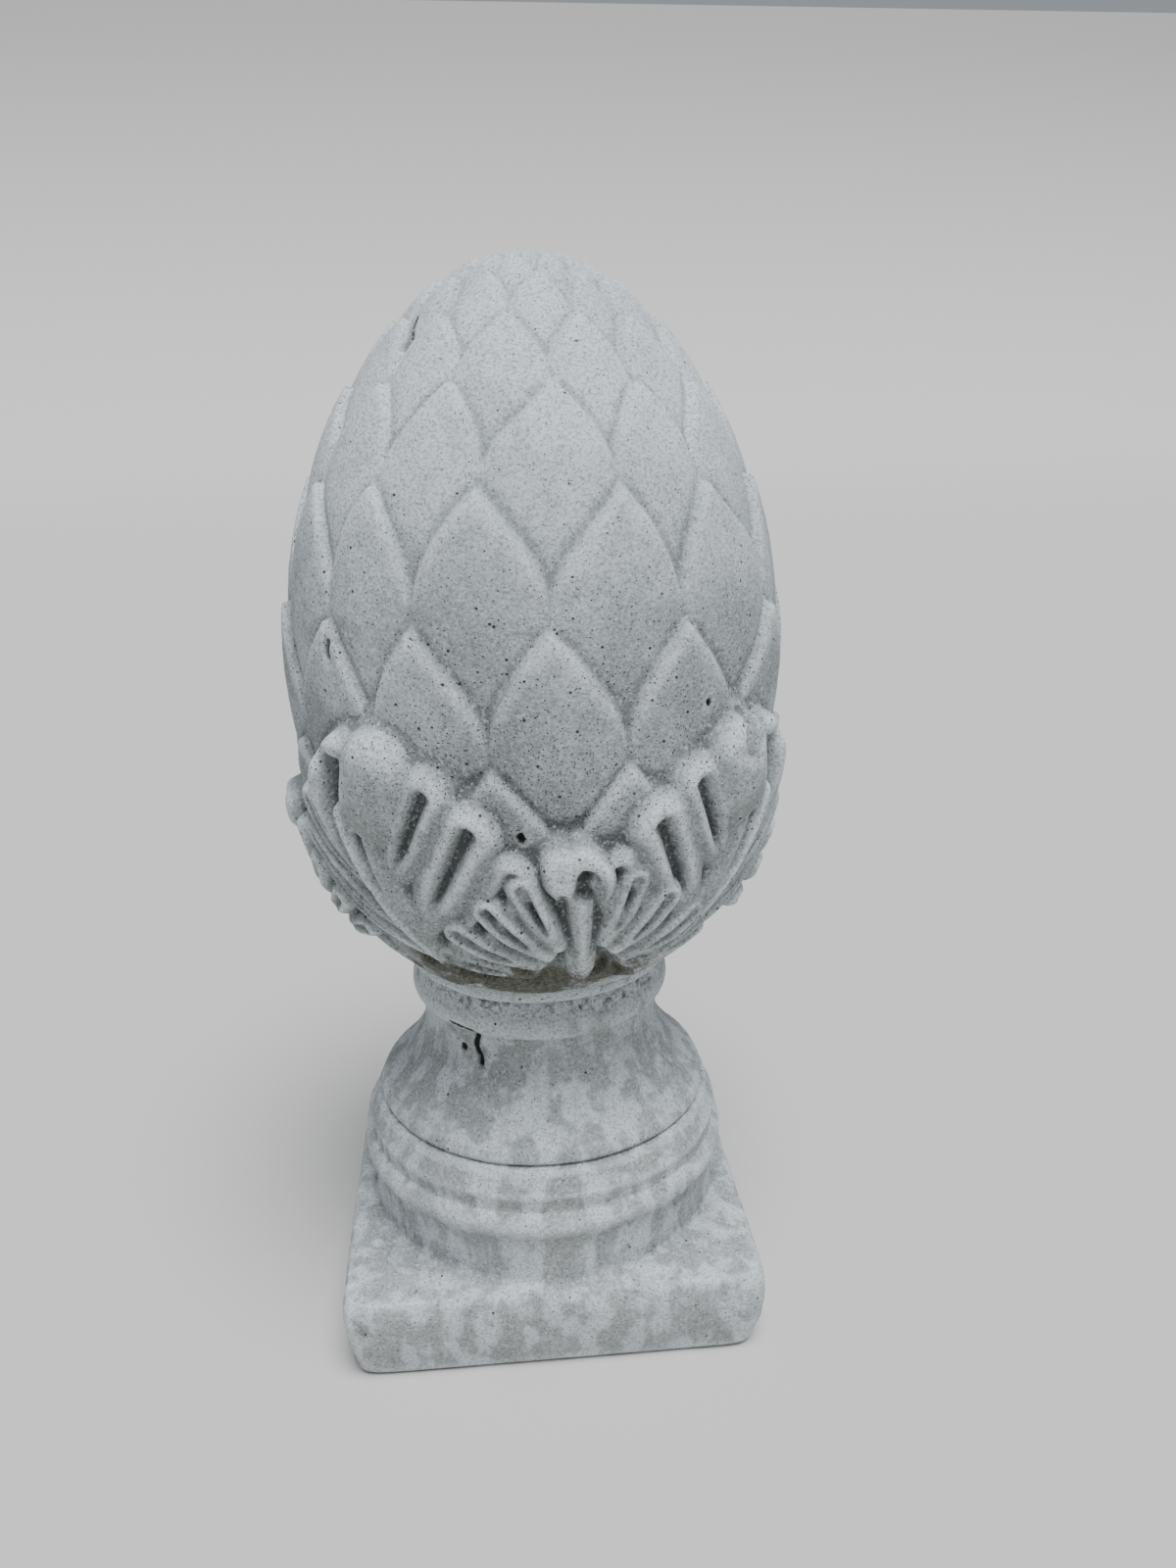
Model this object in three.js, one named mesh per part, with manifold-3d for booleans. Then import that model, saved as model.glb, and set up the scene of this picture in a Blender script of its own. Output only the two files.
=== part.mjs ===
// Pinecone finial, cast in concrete in one piece: a square plinth, a turned pedestal,
// a calyx of eight acanthus leaves and a cone of staggered scales.
// Lengths in millimetres, angles in degrees, +Z up, the origin under the axis of the pedestal,
// at the height of the underside.
// Angles round the axis are counted from the front (-Y) towards +X.

import * as THREE from 'three';
import { mergeVertices } from 'three/addons/utils/BufferGeometryUtils.js';
import Module from 'manifold-3d';

// Plinth
const plinth_side = 115.6;
const plinth_height = 26;
const plinth_underside_side = 110.4;
const plinth_corner_power = 20;
const plinth_offset = 2.6;
const plinth_arris = 3.5;
const plinth_top_fall = 1.2;

// Turned pedestal, from the plinth up
const foot_diameter = 101.6;
const foot_height = 18;
const band_diameter = 106;
const band_height = 8;
const band_groove_depth = 1.6;
const shoulder_diameter = 94;
const shoulder_height = 10;
const shoulder_step = 1.6;
const waist_diameter = 66.6;
const flare_height = 21;
const neck_height = 8;
const collar_diameter = 72.6;
const collar_height = 12;

// Cone, with its proportions as shares of its own height
const cone_height = 182;
const cone_diameter = 130;
const belly_share = 0.445;
const below_share = 0.49;
const crown_power = 0.6;
const underside_power = 0.34;

// Scales of the cone
const scale_count = 13;
const scale_step = 1.6;
const scale_dome = 1.3;
const scale_phase = 3.5;
const first_tip_share = 0.379;
const notch_share = 0.88;

// Leaves of the calyx. The foot of a leaf leans aside by an angle, and a big leaf is fuller on the
// side to which its foot leans
const big_leaf_places = [{ angle: 55, lean: -28 }, { angle: 131, lean: 18 }, { angle: 232, lean: -18 },
  { angle: 312, lean: 24 }];
const small_leaf_places = [{ angle: 5, lean: 3 }, { angle: 95, lean: 3 }, { angle: 182, lean: 2 },
  { angle: 275, lean: -3 }];
const big_leaf_spare_side = 0.55;
const big_tip_shift = 4.6;
const big_leaf_relief = 3.6;
const small_leaf_relief = 2.8;
const big_tip_relief = 6.5;
const small_tip_relief = 6.2;
const leaf_sink = 6;
const lobe_groove_share = 0.5;
const notch_pull = 0.88;

// How finely the curved forms are cut into faces
const turned_sides = 32;
const curve_steps = 3;
const columns_per_scale = 6;
const row_steps = [0, 0.27, 0.64];
const crown_rows = 5;

const origin_to_cone = plinth_height + foot_height + band_height + shoulder_height
  + flare_height + neck_height + collar_height;
const apex = origin_to_cone + cone_height;
const scale_pitch = 360 / scale_count;

const radians = THREE.MathUtils.degToRad;
const clamp = THREE.MathUtils.clamp;
const mix = THREE.MathUtils.lerp;

const wasm = await Module();
wasm.setup();

// A three.js geometry as a closed solid: corners merged, the flat triangles at poles dropped
function solid(geometry) {
  geometry.deleteAttribute('normal');
  geometry.deleteAttribute('uv');
  const merged = mergeVertices(geometry, 1e-4);
  const corners = merged.index.array;
  const kept = [];
  for (let i = 0; i < corners.length; i += 3) {
    const [a, b, c] = [corners[i], corners[i + 1], corners[i + 2]];
    if (a !== b && b !== c && c !== a) kept.push(a, b, c);
  }
  return new wasm.Manifold(new wasm.Mesh({
    numProp: 3,
    vertProperties: new Float32Array(merged.attributes.position.array),
    triVerts: new Uint32Array(kept),
  }));
}

// A point at an angle round the axis, a radius and a height
function around(angle, radius, height) {
  const turn = radians(angle);
  return new THREE.Vector3(radius * Math.sin(turn), -radius * Math.cos(turn), height);
}

// Moves every vertex of a geometry to the place that a function gives for it
function reshape(geometry, place) {
  const position = geometry.attributes.position;
  const vertex = new THREE.Vector3();
  for (let i = 0; i < position.count; i += 1) {
    vertex.fromBufferAttribute(position, i);
    const moved = place(vertex, i);
    position.setXYZ(i, moved.x, moved.y, moved.z);
  }
  return geometry;
}

// The plinth: turned rings pushed out to rounded squares, with their points crowded towards the
// corners, widest above the middle of its height and a little behind the axis of the pedestal
function make_plinth() {
  const half = plinth_side / 2;
  const under = plinth_underside_side / 2;
  const foot = foot_diameter / 2;
  const side_top = plinth_height - plinth_top_fall;
  const rows = [
    [0, 0],
    [under - plinth_arris / 2, 0],
    [under, plinth_arris / 2],
    [mix(under, half, 0.65), plinth_height * 0.3],
    [half, plinth_height * 0.68],
    [half - plinth_arris * 0.25, side_top - plinth_arris * 0.7],
    [half - plinth_arris, side_top],
    [foot, plinth_height],
    [0, plinth_height],
  ];
  const points = rows.map(([r, z]) => new THREE.Vector2(r, z));
  const rings = new THREE.LatheGeometry(points, turned_sides).rotateX(Math.PI / 2);
  return solid(reshape(rings, (v, index) => {
    const row = index % rows.length;
    const round = row >= rows.length - 2;
    const turn = Math.atan2(v.y, v.x);
    const side = Math.round(turn / (Math.PI / 2)) * Math.PI / 2;
    const crowded = side + Math.atan(Math.sin(2 * (turn - side)));
    const x = Math.cos(crowded);
    const y = Math.sin(crowded);
    const power = plinth_corner_power;
    const square = (Math.abs(x) ** power + Math.abs(y) ** power) ** (-1 / power);
    const reach = Math.hypot(v.x, v.y) * (round ? 1 : square);
    const offset = round || row === 0 ? 0 : plinth_offset;
    return new THREE.Vector3(x * reach, y * reach + offset, v.z);
  }));
}

// The turned pedestal: foot, grooved band, rounded shoulder, flare, waist and collar
function make_pedestal() {
  const foot_top = plinth_height + foot_height;
  const band_top = foot_top + band_height;
  const shoulder_top = band_top + shoulder_height;
  const waist_level = shoulder_top + flare_height;
  const collar_base = waist_level + neck_height;
  const foot = foot_diameter / 2;
  const band = band_diameter / 2;
  const shoulder = shoulder_diameter / 2;
  const waist = waist_diameter / 2;
  const collar = collar_diameter / 2;
  const outline = new THREE.Path();
  outline.moveTo(foot, plinth_height / 2);
  outline.lineTo(foot, plinth_height);
  outline.quadraticCurveTo(foot, foot_top - 4, band, foot_top);
  outline.lineTo(band - band_groove_depth, foot_top + band_height * 0.5);
  outline.lineTo(band - band_groove_depth * 0.8, foot_top + band_height * 0.68);
  outline.lineTo(band - band_groove_depth * 1.3, band_top);
  outline.lineTo(shoulder + shoulder_step * 0.9, shoulder_top - shoulder_height * 0.2);
  outline.lineTo(shoulder - shoulder_step * 0.4, shoulder_top - shoulder_height * 0.12);
  outline.lineTo(shoulder, shoulder_top);
  outline.bezierCurveTo(shoulder - 4, shoulder_top + 7, waist + 2, waist_level - 10, waist, waist_level);
  outline.lineTo(collar - 2.2, collar_base);
  outline.quadraticCurveTo(collar + 1.2, collar_base + collar_height * 0.4, collar - 1, origin_to_cone);
  outline.lineTo(collar - 1, origin_to_cone + 6);
  const points = outline.getPoints(curve_steps);
  points.unshift(new THREE.Vector2(0, plinth_height / 2));
  points.push(new THREE.Vector2(0, origin_to_cone + 6));
  return solid(new THREE.LatheGeometry(points, turned_sides).rotateX(Math.PI / 2));
}

// The egg of the cone: its radius at a height, without scales
function cone_radius(height) {
  const belly = origin_to_cone + cone_height * belly_share;
  const crown = (height - belly) / (apex - belly);
  const below = (belly - height) / (cone_height * below_share);
  const widest = cone_diameter / 2 - scale_step / 2;
  if (height >= belly) return widest * Math.max(0, 1 - crown * crown) ** crown_power;
  return widest * Math.max(0, 1 - below * below) ** underside_power;
}

// The height of the cone's surface a number of scale rows above the first row of tips,
// where each row climbs by the width of a scale at that height
function row_level(rows) {
  const parts = 24;
  const climb = radians(scale_pitch) / parts;
  let level = origin_to_cone + cone_height * first_tip_share;
  const count = Math.round(Math.abs(rows) * parts);
  const way = Math.sign(rows);
  for (let i = 0; i < count; i += 1) {
    const radius = cone_radius(level);
    const slope = cone_radius(level + 0.05) - cone_radius(level - 0.05);
    level += way * radius * climb / Math.hypot(1, slope / 0.1);
  }
  return level;
}

// Half the width of a scale, as a share of half its pitch, at a share of a row below its tip
function scale_half_width(below_tip) {
  return Math.sin(Math.PI / 2 * clamp(below_tip / notch_share, 0, 1));
}

// How far a scale's surface stands off the egg: proud at its tip, sunk under the row below
function scale_relief(below_tip, across) {
  const slope = scale_step * (0.5 - 0.6 * below_tip);
  const dome = scale_dome * (0.35 - 0.5 * across * across) * Math.min(1, below_tip * 1.6);
  return slope + dome;
}

// The cone: a turned egg whose columns follow the edges of the scales
function make_cone() {
  const levels = [-notch_share, -notch_share / 2];
  for (let row = 0; row < crown_rows; row += 1) {
    for (const step of row_steps) levels.push(row + step);
  }
  levels.push(crown_rows, crown_rows + 1, crown_rows + 2);
  const bottom = origin_to_cone - 4;
  const plain_rows = 4;
  const first = row_level(levels[0]);
  const heights = [bottom];
  for (let i = 0; i < plain_rows; i += 1) heights.push(mix(bottom + 3, first, i / plain_rows));
  const plain = heights.length + 1;
  for (const level of levels) heights.push(row_level(level));
  const points = heights.map((z) => new THREE.Vector2(cone_radius(z), z));
  points.unshift(new THREE.Vector2(0, bottom));
  points.push(new THREE.Vector2(0, apex));
  const sides = scale_count * columns_per_scale;
  const egg = new THREE.LatheGeometry(points, sides).rotateX(Math.PI / 2);
  return solid(reshape(egg, (v, index) => {
    const row = index % points.length;
    const column = Math.floor(index / points.length) % sides;
    if (row === 0 || row === points.length - 1) return v;
    const cell = Math.floor(column / columns_per_scale);
    const slot = column % columns_per_scale;
    const side = slot <= 3 ? 1 : -1;
    const from_odd = slot <= 3 ? slot : columns_per_scale - slot;
    const height = points[row].y;
    if (row < plain) {
      const even = scale_phase + (column / columns_per_scale) * scale_pitch;
      return around(even, cone_radius(height), height);
    }
    const level = levels[row - plain];
    const above = Math.ceil(level - 1e-6);
    const below_tip = above - level;
    const odd = Math.abs(above % 2) === 1;
    const half = scale_half_width(below_tip);
    const inner = clamp(half - 0.05, 0.04, 0.9);
    const outer = clamp(half + 0.08, inner + 0.06, 0.96);
    const from_centre = odd ? from_odd : 3 - from_odd;
    const share = [0, inner, outer, 1][from_centre];
    const across = odd ? share : 1 - share;
    const angle = scale_phase + cell * scale_pitch + (side > 0 ? 0 : scale_pitch)
      + side * across * scale_pitch / 2;
    const own = from_centre <= 1;
    const relief = own ? scale_relief(below_tip, share) : scale_relief(below_tip + 1, 1 - share);
    const fade = Math.min(1, cone_radius(height) / 20);
    return around(angle, cone_radius(height) + relief * fade, height);
  }));
}

// A point on a leaf, from its angle beside the rib, its height and how far it stands off the cone.
// The rib leans aside towards the foot of the leaf.
function on_leaf(leaf, angle, level, off) {
  const climbed = clamp((level - leaf.base) / (leaf.top - leaf.base), 0, 1);
  const lean = leaf.lean * (1 - climbed) ** 2;
  return around(leaf.angle + lean + angle, cone_radius(level) + off, level);
}

// The runs that shape one half of a leaf, from beside its rib down to its lowest edge: a valley,
// then for each lobe a flank, its grooved middle, a flank and the next valley.
// A run goes from a root at the rib to an end at the leaf's edge, in degrees and shares of height.
function half_leaf_runs(leaf) {
  const mid = (a, b) => [(a[0] + b[0]) / 2, (a[1] + b[1]) / 2];
  const along = (a, b, share) => [mix(a[0], b[0], share), mix(a[1], b[1], share)];
  const beyond = (a, b) => [2 * a[0] - b[0], 2 * a[1] - b[1]];
  const lobes = leaf.lobes;
  const last = lobes.length - 1;
  const roots = [beyond(lobes[0].root, lobes[1].root), ...lobes.map((lobe) => lobe.root),
    beyond(lobes[last].root, lobes[last - 1].root)];
  const ends = [beyond(lobes[0].end, lobes[1].end), ...lobes.map((lobe) => lobe.end),
    beyond(lobes[last].end, lobes[last - 1].end)];
  const valleys = [];
  for (let i = 0; i <= lobes.length; i += 1) {
    const root = mid(roots[i], roots[i + 1]);
    valleys.push({ root, end: along(root, mid(ends[i], ends[i + 1]), notch_pull), kind: 'valley' });
  }
  const runs = [valleys[0]];
  lobes.forEach((lobe, i) => {
    for (const [side, share] of [[valleys[i], 0.5], [null, 0], [valleys[i + 1], 0.5]]) {
      if (side === null) runs.push({ root: lobe.root, end: lobe.end, kind: 'groove' });
      else {
        runs.push({
          root: along(lobe.root, side.root, share), end: along(lobe.end, side.end, share), kind: 'flank',
        });
      }
    }
    runs.push(valleys[i + 1]);
  });
  runs[0] = { ...runs[0], kind: 'edge' };
  runs[runs.length - 1] = { ...runs[runs.length - 1], kind: 'edge' };
  return runs;
}

// One half of a leaf: a fan of grooved lobes, one block bent over the cone
function make_half_leaf(leaf, side) {
  const runs = half_leaf_runs(leaf);
  const spread = leaf.spare_side && side * leaf.lean < 0 ? leaf.spare_side : 1;
  const stops = [0, 0.42, 0.88, 1];
  const block = new THREE.BoxGeometry(1, 1, 1, runs.length - 1, stops.length - 1, 1);
  const span = leaf.top - leaf.base;
  return solid(reshape(block, (v) => {
    const across = side > 0 ? v.x + 0.5 : 0.5 - v.x;
    const run = runs[Math.round(across * (runs.length - 1))];
    const stop = Math.round((v.y + 0.5) * (stops.length - 1));
    const t = stops[stop];
    const bend = [mix(run.root[0], run.end[0], 0.62), mix(run.root[1], run.end[1], 0.42)];
    const blend = (i) => (1 - t) ** 2 * run.root[i] + 2 * t * (1 - t) * bend[i] + t * t * run.end[i];
    const rise = mix(0.4, 1, Math.min(1, t * 2));
    const groove = stop === 1 ? 1 - lobe_groove_share : 1.05;
    const heights = { edge: 0, valley: 0.1, flank: 0.85, groove };
    const raised = run.kind === 'edge' ? -1 : leaf.bed + leaf.relief * rise * heights[run.kind];
    const outside = stop === stops.length - 1 ? -1 : raised;
    const level = leaf.base + span * blend(1);
    return on_leaf(leaf, side * spread * blend(0), level, v.z > 0 ? outside : -leaf_sink);
  }));
}

// The rib of a leaf, which swells into the curled tip
function make_rib(leaf) {
  const stops = [0, 0.3, 0.55, 0.72, 0.85, 0.95, 1];
  const widths = [0.32, 0.34, 0.42, 0.8, 1, 0.8, 0.35];
  const heights = [0.35, 0.5, 0.62, 0.85, 1, 0.8, -0.2];
  const block = new THREE.BoxGeometry(2, 1, 1, 4, stops.length - 1, 1);
  return solid(reshape(block, (v) => {
    const stop = Math.round((v.y + 0.5) * (stops.length - 1));
    const level = mix(leaf.base, leaf.top, stops[stop]);
    const half = leaf.tip_half_width * widths[stop];
    const shift = leaf.tip_shift * Math.sign(leaf.lean) * stops[stop] ** 3;
    const angle = shift + THREE.MathUtils.radToDeg(half * v.x / cone_radius(level));
    const edge = Math.abs(v.x) > 0.9;
    const crown = Math.abs(v.x) < 0.1 ? 1 : 0.78;
    const outside = edge ? -1 : leaf.tip_relief * heights[stop] * crown;
    return on_leaf(leaf, angle, level, v.z > 0 ? outside : -leaf_sink);
  }));
}

// The two kinds of leaf: roots and ends of the lobes beside the rib, in degrees from the rib
// and as shares of the leaf's height
const big_leaf = {
  base: origin_to_cone + cone_height * 0.085,
  top: origin_to_cone + cone_height * 0.435,
  tip_half_width: 12,
  tip_relief: big_tip_relief,
  tip_shift: big_tip_shift,
  spare_side: big_leaf_spare_side,
  relief: big_leaf_relief,
  bed: 1,
  lobes: [
    { root: [2, 0.4], end: [20, 0.91] },
    { root: [2, 0.24], end: [29, 0.77] },
    { root: [2, 0.08], end: [34, 0.55] },
  ],
};
const small_leaf = {
  base: origin_to_cone + cone_height * 0.075,
  top: origin_to_cone + cone_height * 0.312,
  tip_half_width: 8,
  tip_relief: small_tip_relief,
  tip_shift: 0,
  relief: small_leaf_relief,
  bed: 2.4,
  lobes: [
    { root: [2, 0.3], end: [12, 0.82] },
    { root: [2, 0.2], end: [21, 0.66] },
    { root: [2, 0.1], end: [29, 0.48] },
    { root: [2, 0.0], end: [33, 0.24] },
  ],
};

// The calyx: big leaves over the plinth's corners, small ones between and in front of them
function make_calyx() {
  const leaves = [
    ...big_leaf_places.map((place) => ({ ...big_leaf, ...place })),
    ...small_leaf_places.map((place) => ({ ...small_leaf, ...place })),
  ];
  return leaves
    .flatMap((leaf) => [make_half_leaf(leaf, -1), make_half_leaf(leaf, 1), make_rib(leaf)])
    .reduce((whole, part) => whole.add(part));
}

// The whole casting as one closed mesh
function make_finial() {
  const whole = make_plinth().add(make_pedestal()).add(make_cone()).add(make_calyx());
  const mesh = whole.getMesh();
  const geometry = new THREE.BufferGeometry();
  geometry.setAttribute('position', new THREE.BufferAttribute(mesh.vertProperties, 3));
  geometry.setIndex(new THREE.BufferAttribute(mesh.triVerts, 1));
  geometry.computeVertexNormals();
  const concrete = new THREE.MeshStandardMaterial({ color: 0xa9aeb0, roughness: 0.9, metalness: 0 });
  const finial = new THREE.Mesh(geometry, concrete);
  finial.name = 'pinecone_finial';
  return finial;
}

const group = new THREE.Group();
group.add(make_finial());

export default group;
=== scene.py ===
# Pinecone finial in cast concrete: one casting with a square plinth, a turned pedestal, a calyx of
# acanthus leaves and a cone of overlapping scales. Metres, +Z up, the origin under the plinth.
# Angles round the axis are in degrees, counted from the front (-Y) towards +X.

import math

import bmesh
import bpy
import numpy as np
from mathutils import Matrix, Vector


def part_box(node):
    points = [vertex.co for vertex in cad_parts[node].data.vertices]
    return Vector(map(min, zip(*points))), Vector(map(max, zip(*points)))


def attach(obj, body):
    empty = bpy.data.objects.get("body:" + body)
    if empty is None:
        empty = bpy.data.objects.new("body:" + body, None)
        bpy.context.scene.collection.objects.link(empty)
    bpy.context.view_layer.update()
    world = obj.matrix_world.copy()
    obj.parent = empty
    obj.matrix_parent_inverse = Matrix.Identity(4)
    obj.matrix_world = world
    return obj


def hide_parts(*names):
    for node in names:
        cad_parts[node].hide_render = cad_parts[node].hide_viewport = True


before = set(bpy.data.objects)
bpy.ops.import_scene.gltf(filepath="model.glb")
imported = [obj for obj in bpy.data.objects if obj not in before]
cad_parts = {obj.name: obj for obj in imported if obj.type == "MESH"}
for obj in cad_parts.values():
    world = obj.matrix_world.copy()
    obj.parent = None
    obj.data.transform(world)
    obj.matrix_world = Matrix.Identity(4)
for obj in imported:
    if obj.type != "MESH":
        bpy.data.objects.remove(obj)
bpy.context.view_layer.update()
node = "pinecone_finial"
low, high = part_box(node)

# The casting is laid out in millimetres on a height of 285, and takes its scale from the frame
designed_height = 285.0
mm = (high.z - low.z) / designed_height

# Levels of the casting, from the underside up
plinth_top = 26.0
band_level = 44.0
groove_level = 47.8
band_top = 52.0
shoulder_top = 62.0
waist_level = 83.0
collar_base = 91.0
pitted_base = 97.2
pitted_top = 101.4
cone_base = 103.0
calyx_base = 106.0
apex = designed_height

# Radii of the turned parts, half sides of the plinth, and how far the plinth sits behind the axis
plinth_half = 57.8
underside_half = 55.2
plinth_arris = 3.2
plinth_round = 2.6
plinth_power = 20
plinth_offset = 2.6
foot_radius = 50.8
band_radius = 53.0
shoulder_radius = 46.8
waist_radius = 33.3
collar_radius = 36.3

# The egg of the cone, which stands a little to the right of the pedestal
belly_level = cone_base + 0.445 * (apex - cone_base)
egg_radius = 64.0
crown_power = 0.6
crown_level = apex - 6.0
crown_room = 9.0
underside_reach = 0.49 * (apex - cone_base)
underside_power = 0.34
cone_offset = 0.9

# Scales, the parts that a row of them is climbed in, how far a stray tip draws its neighbours in
# degrees and rows, and the tips that stand off the even lattice as row, angle and how far round
scale_count = 13
scale_pitch = 360.0 / scale_count
scale_phase = 2.7
first_tip = cone_base + 0.379 * (apex - cone_base)
notch_share = 0.93
scale_step = 3.0
scale_dome = 2.2
row_parts = 48
stray_reach = 14.0
stray_rows = 0.7
stray_tips = [
    (0, -11.1, -1.5), (0, 16.5, 0.5),
    (1, -52.7, 1.6), (1, -25.0, -3.5), (1, 2.7, -1.8), (1, 30.4, -1.0), (1, 58.1, 3.7),
    (2, -38.8, -3.9), (2, -11.1, -4.6), (2, 16.5, 1.3), (2, 44.2, -2.3),
    (3, -52.7, 3.4), (3, -25.0, -1.8), (3, 2.7, 1.3), (3, 30.4, 1.2),
    (4, -38.8, -1.8), (4, -11.1, 0.7), (4, 16.5, 2.8), (4, 44.2, -4.0),
    (5, 2.7, 1.3), (5, -25.0, 1.8), (6, -11.1, -5.0),
]

# The farthest that the cone may reach, and where it starts to be held in, to stay in the frame's box
cone_limit = 67.1
cone_held_from = 64.5

# Mesh: its columns, the length of its rows up to a height and above it, and rounds of relaxing
columns = 700
fine_row = 0.66
coarse_row = 0.95
fine_rows_top = 184.0
ridge_rounds = 5
hollow_rounds = 60
triangle_budget = 190000

# Seeds of the noises
wave_seed = 3
ripple_seed = 11
band_seed = 17
pit_seed = 23
wear_seed = 29
corner_seed = 31
ragged_seed = 41
damp_seed = 51

# The photograph's camera: place in millimetres, and yaw, pitch and roll in degrees
camera_place = (-13.5, -308.5, 251.4)
camera_turn = (5.22, 18.29, -0.68)
camera_lens = 27.0
camera_sensor = 36.0

# Colours of the concrete in linear light, from the ground up to what lies on it
ground = (0.37, 0.405, 0.425)
pale_ground = (0.48, 0.515, 0.535)
bloom_colour = (0.68, 0.725, 0.76)
damp_grey = (0.31, 0.325, 0.325)
lime_colour = (0.62, 0.665, 0.70)
low_cone_grey = (0.24, 0.26, 0.27)
# A darker grey laid in patches over the calyx band
calyx_dark_grey = (0.18, 0.195, 0.195)
# Lighter colour for sharp convex edges: partly lime bloom, partly painted highlight
ridge_bloom_and_highlight = (0.7, 0.74, 0.76)
# Lighter colour for broad convex parts: partly lime bloom, partly painted highlight
crest_bloom_and_highlight = (0.7, 0.745, 0.775)
# Painted shade for the hollows and recesses
hollow_shade_colour = (0.07, 0.075, 0.075)
dark_sand = (0.11, 0.11, 0.105)
pale_sand = (0.72, 0.76, 0.78)
moss_dark = (0.035, 0.034, 0.024)
moss_light = (0.13, 0.125, 0.085)
band_colour = (0.10, 0.10, 0.095)
# Painted shade inside pores, holes, slits and chips
pore_shade_colour = (0.015, 0.014, 0.012)


def smooth_step(low_edge, high_edge, x):
    t = np.clip((x - low_edge) / (high_edge - low_edge), 0.0, 1.0)
    return t * t * (3.0 - 2.0 * t)


def smooth_max(values, sharpness):
    """The largest of a list of heights, with the meeting lines rounded."""
    stack = np.stack(values)
    top = stack.max(axis=0)
    return top + np.log(np.exp((stack - top) * sharpness).sum(axis=0)) / sharpness


def bump(x, width):
    return np.exp(-(x / width) ** 2)


def around(angle):
    """An angle brought between -180 and 180 degrees."""
    return (angle + 180.0) % 360.0 - 180.0


def angle_from_front(x, y):
    return np.degrees(np.arctan2(x, -y))


def curve_weights(t):
    """How much the start, the bend and the end of a curve count a share of the way along it."""
    return (1 - t) ** 2, 2 * t * (1 - t), t * t


class Grain:
    """Seeded noise in space from -1 to 1, smooth between the points of a lattice."""

    def __init__(self, seed, size):
        self.table = np.random.default_rng(seed).uniform(-1.0, 1.0, (32, 32, 32))
        self.size = size

    def at(self, places):
        cells = places / self.size
        corner = np.floor(cells).astype(int)
        t = cells - corner
        t = t * t * (3.0 - 2.0 * t)
        total = np.zeros(len(places))
        for step in np.ndindex(2, 2, 2):
            weight = np.prod(np.where(step, t, 1.0 - t), axis=1)
            index = (corner + step) % 32
            total += weight * self.table[index[:, 0], index[:, 1], index[:, 2]]
        return total


def grain(places, seed, size, layers=3):
    """Noise in layers, each half as large and half as strong as the one before."""
    total = np.zeros(len(places))
    for i in range(layers):
        total += Grain(seed + i, size / 2 ** i).at(places) / 2 ** i
    return total


# Form of the turned body

def egg(level):
    """The radius of the cone at a height, without scales and leaves."""
    level = np.asarray(level, dtype=float)
    crown = np.clip((level - belly_level) / (apex - belly_level), 0.0, 1.0)
    below = np.clip((belly_level - level) / underside_reach, 0.0, 0.999)
    upper = (1.0 - crown ** 2) ** crown_power
    lower = (1.0 - below ** 2) ** underside_power
    return egg_radius * np.where(level >= belly_level, upper, lower)


def egg_slope(level, apart=0.05):
    """How much the radius of the cone grows with each millimetre of height."""
    return (egg(level + apart) - egg(level - apart)) / (2 * apart)


def curve(start, bend, end, step):
    """Points on a quadratic curve from start to end, without its start."""
    length = math.dist(start, bend) + math.dist(bend, end)
    count = max(1, round(length / step))
    points = []
    for i in range(1, count + 1):
        t = i / count
        weights = curve_weights(t)
        points.append(tuple(
            weights[0] * start[k] + weights[1] * bend[k] + weights[2] * end[k] for k in (0, 1)))
    return points


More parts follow.
